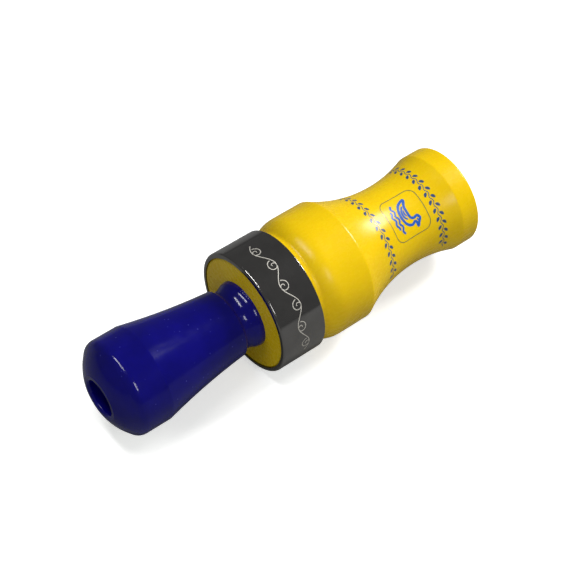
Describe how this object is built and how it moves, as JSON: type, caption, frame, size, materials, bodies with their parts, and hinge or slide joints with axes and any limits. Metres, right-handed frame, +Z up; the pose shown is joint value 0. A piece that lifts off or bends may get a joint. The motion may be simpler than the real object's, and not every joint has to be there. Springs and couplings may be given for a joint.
{
  "type": "duck call",
  "caption": "Turned acrylic waterfowl call: flared barrel with a pressed metal band, and a sealed insert with a bell, tone board, reeds and cork wedge.",
  "frame": {"origin": "under the middle of the call's length, on the surface that its shoulder lies on", "axes": "+X along the call to the mouthpiece, +Z up; the reeds are on the +Z side of the insert"},
  "size_m": [0.1226, 0.0374, 0.0375],
  "materials": {
    "barrel_acrylic": "polished opaque yellow acrylic with a printed emblem",
    "band_metal": "polished gunmetal anodising with pale engraved lines",
    "insert_acrylic": "polished deep blue acrylic, slightly translucent",
    "seal_rubber": "matt black rubber",
    "reed_film": "translucent polyester film with a satin face",
    "wedge_cork": "cut cork with dark pores"
  },
  "bodies": {
    "barrel": {"barrel": "barrel_acrylic", "band": "band_metal"},
    "seals": {"o_ring_front": "seal_rubber", "o_ring_rear": "seal_rubber"},
    "insert": {"insert": "insert_acrylic"},
    "long_reed": {"long_reed": "reed_film"},
    "short_reed": {"short_reed": "reed_film"},
    "wedge": {"wedge": "wedge_cork"}
  },
  "joints": [
    {"name": "insert_pull", "type": "slide", "parent": "barrel", "child": "seals", "axis": [-1, 0, 0], "range_m": [0, 0.068]},
    {"name": "insert_turn", "type": "hinge", "parent": "seals", "child": "insert", "pos_m": [-0.00875, 0, 0.01875], "axis": [-1, 0, 0], "continuous": true},
    {"name": "long_reed_flex", "type": "hinge", "parent": "insert", "child": "long_reed", "pos_m": [0.00925, 0, 0.01995], "axis": [0, 1, 0], "range_deg": [-1, 2], "stiffness_Nm_per_rad": 0.0175, "deforming": ["long_reed"]},
    {"name": "short_reed_flex", "type": "hinge", "parent": "insert", "child": "short_reed", "pos_m": [0.00925, 0, 0.01995], "axis": [0, 1, 0], "range_deg": [-1, 2], "stiffness_Nm_per_rad": 0.0071, "deforming": ["short_reed"]},
    {"name": "wedge_pull", "type": "slide", "parent": "insert", "child": "wedge", "axis": [1, 0, 0], "range_m": [0, 0.013]}
  ],
  "couplings": [
    {"joint": "short_reed_flex", "follows": "long_reed_flex", "ratio": 1}
  ]
}
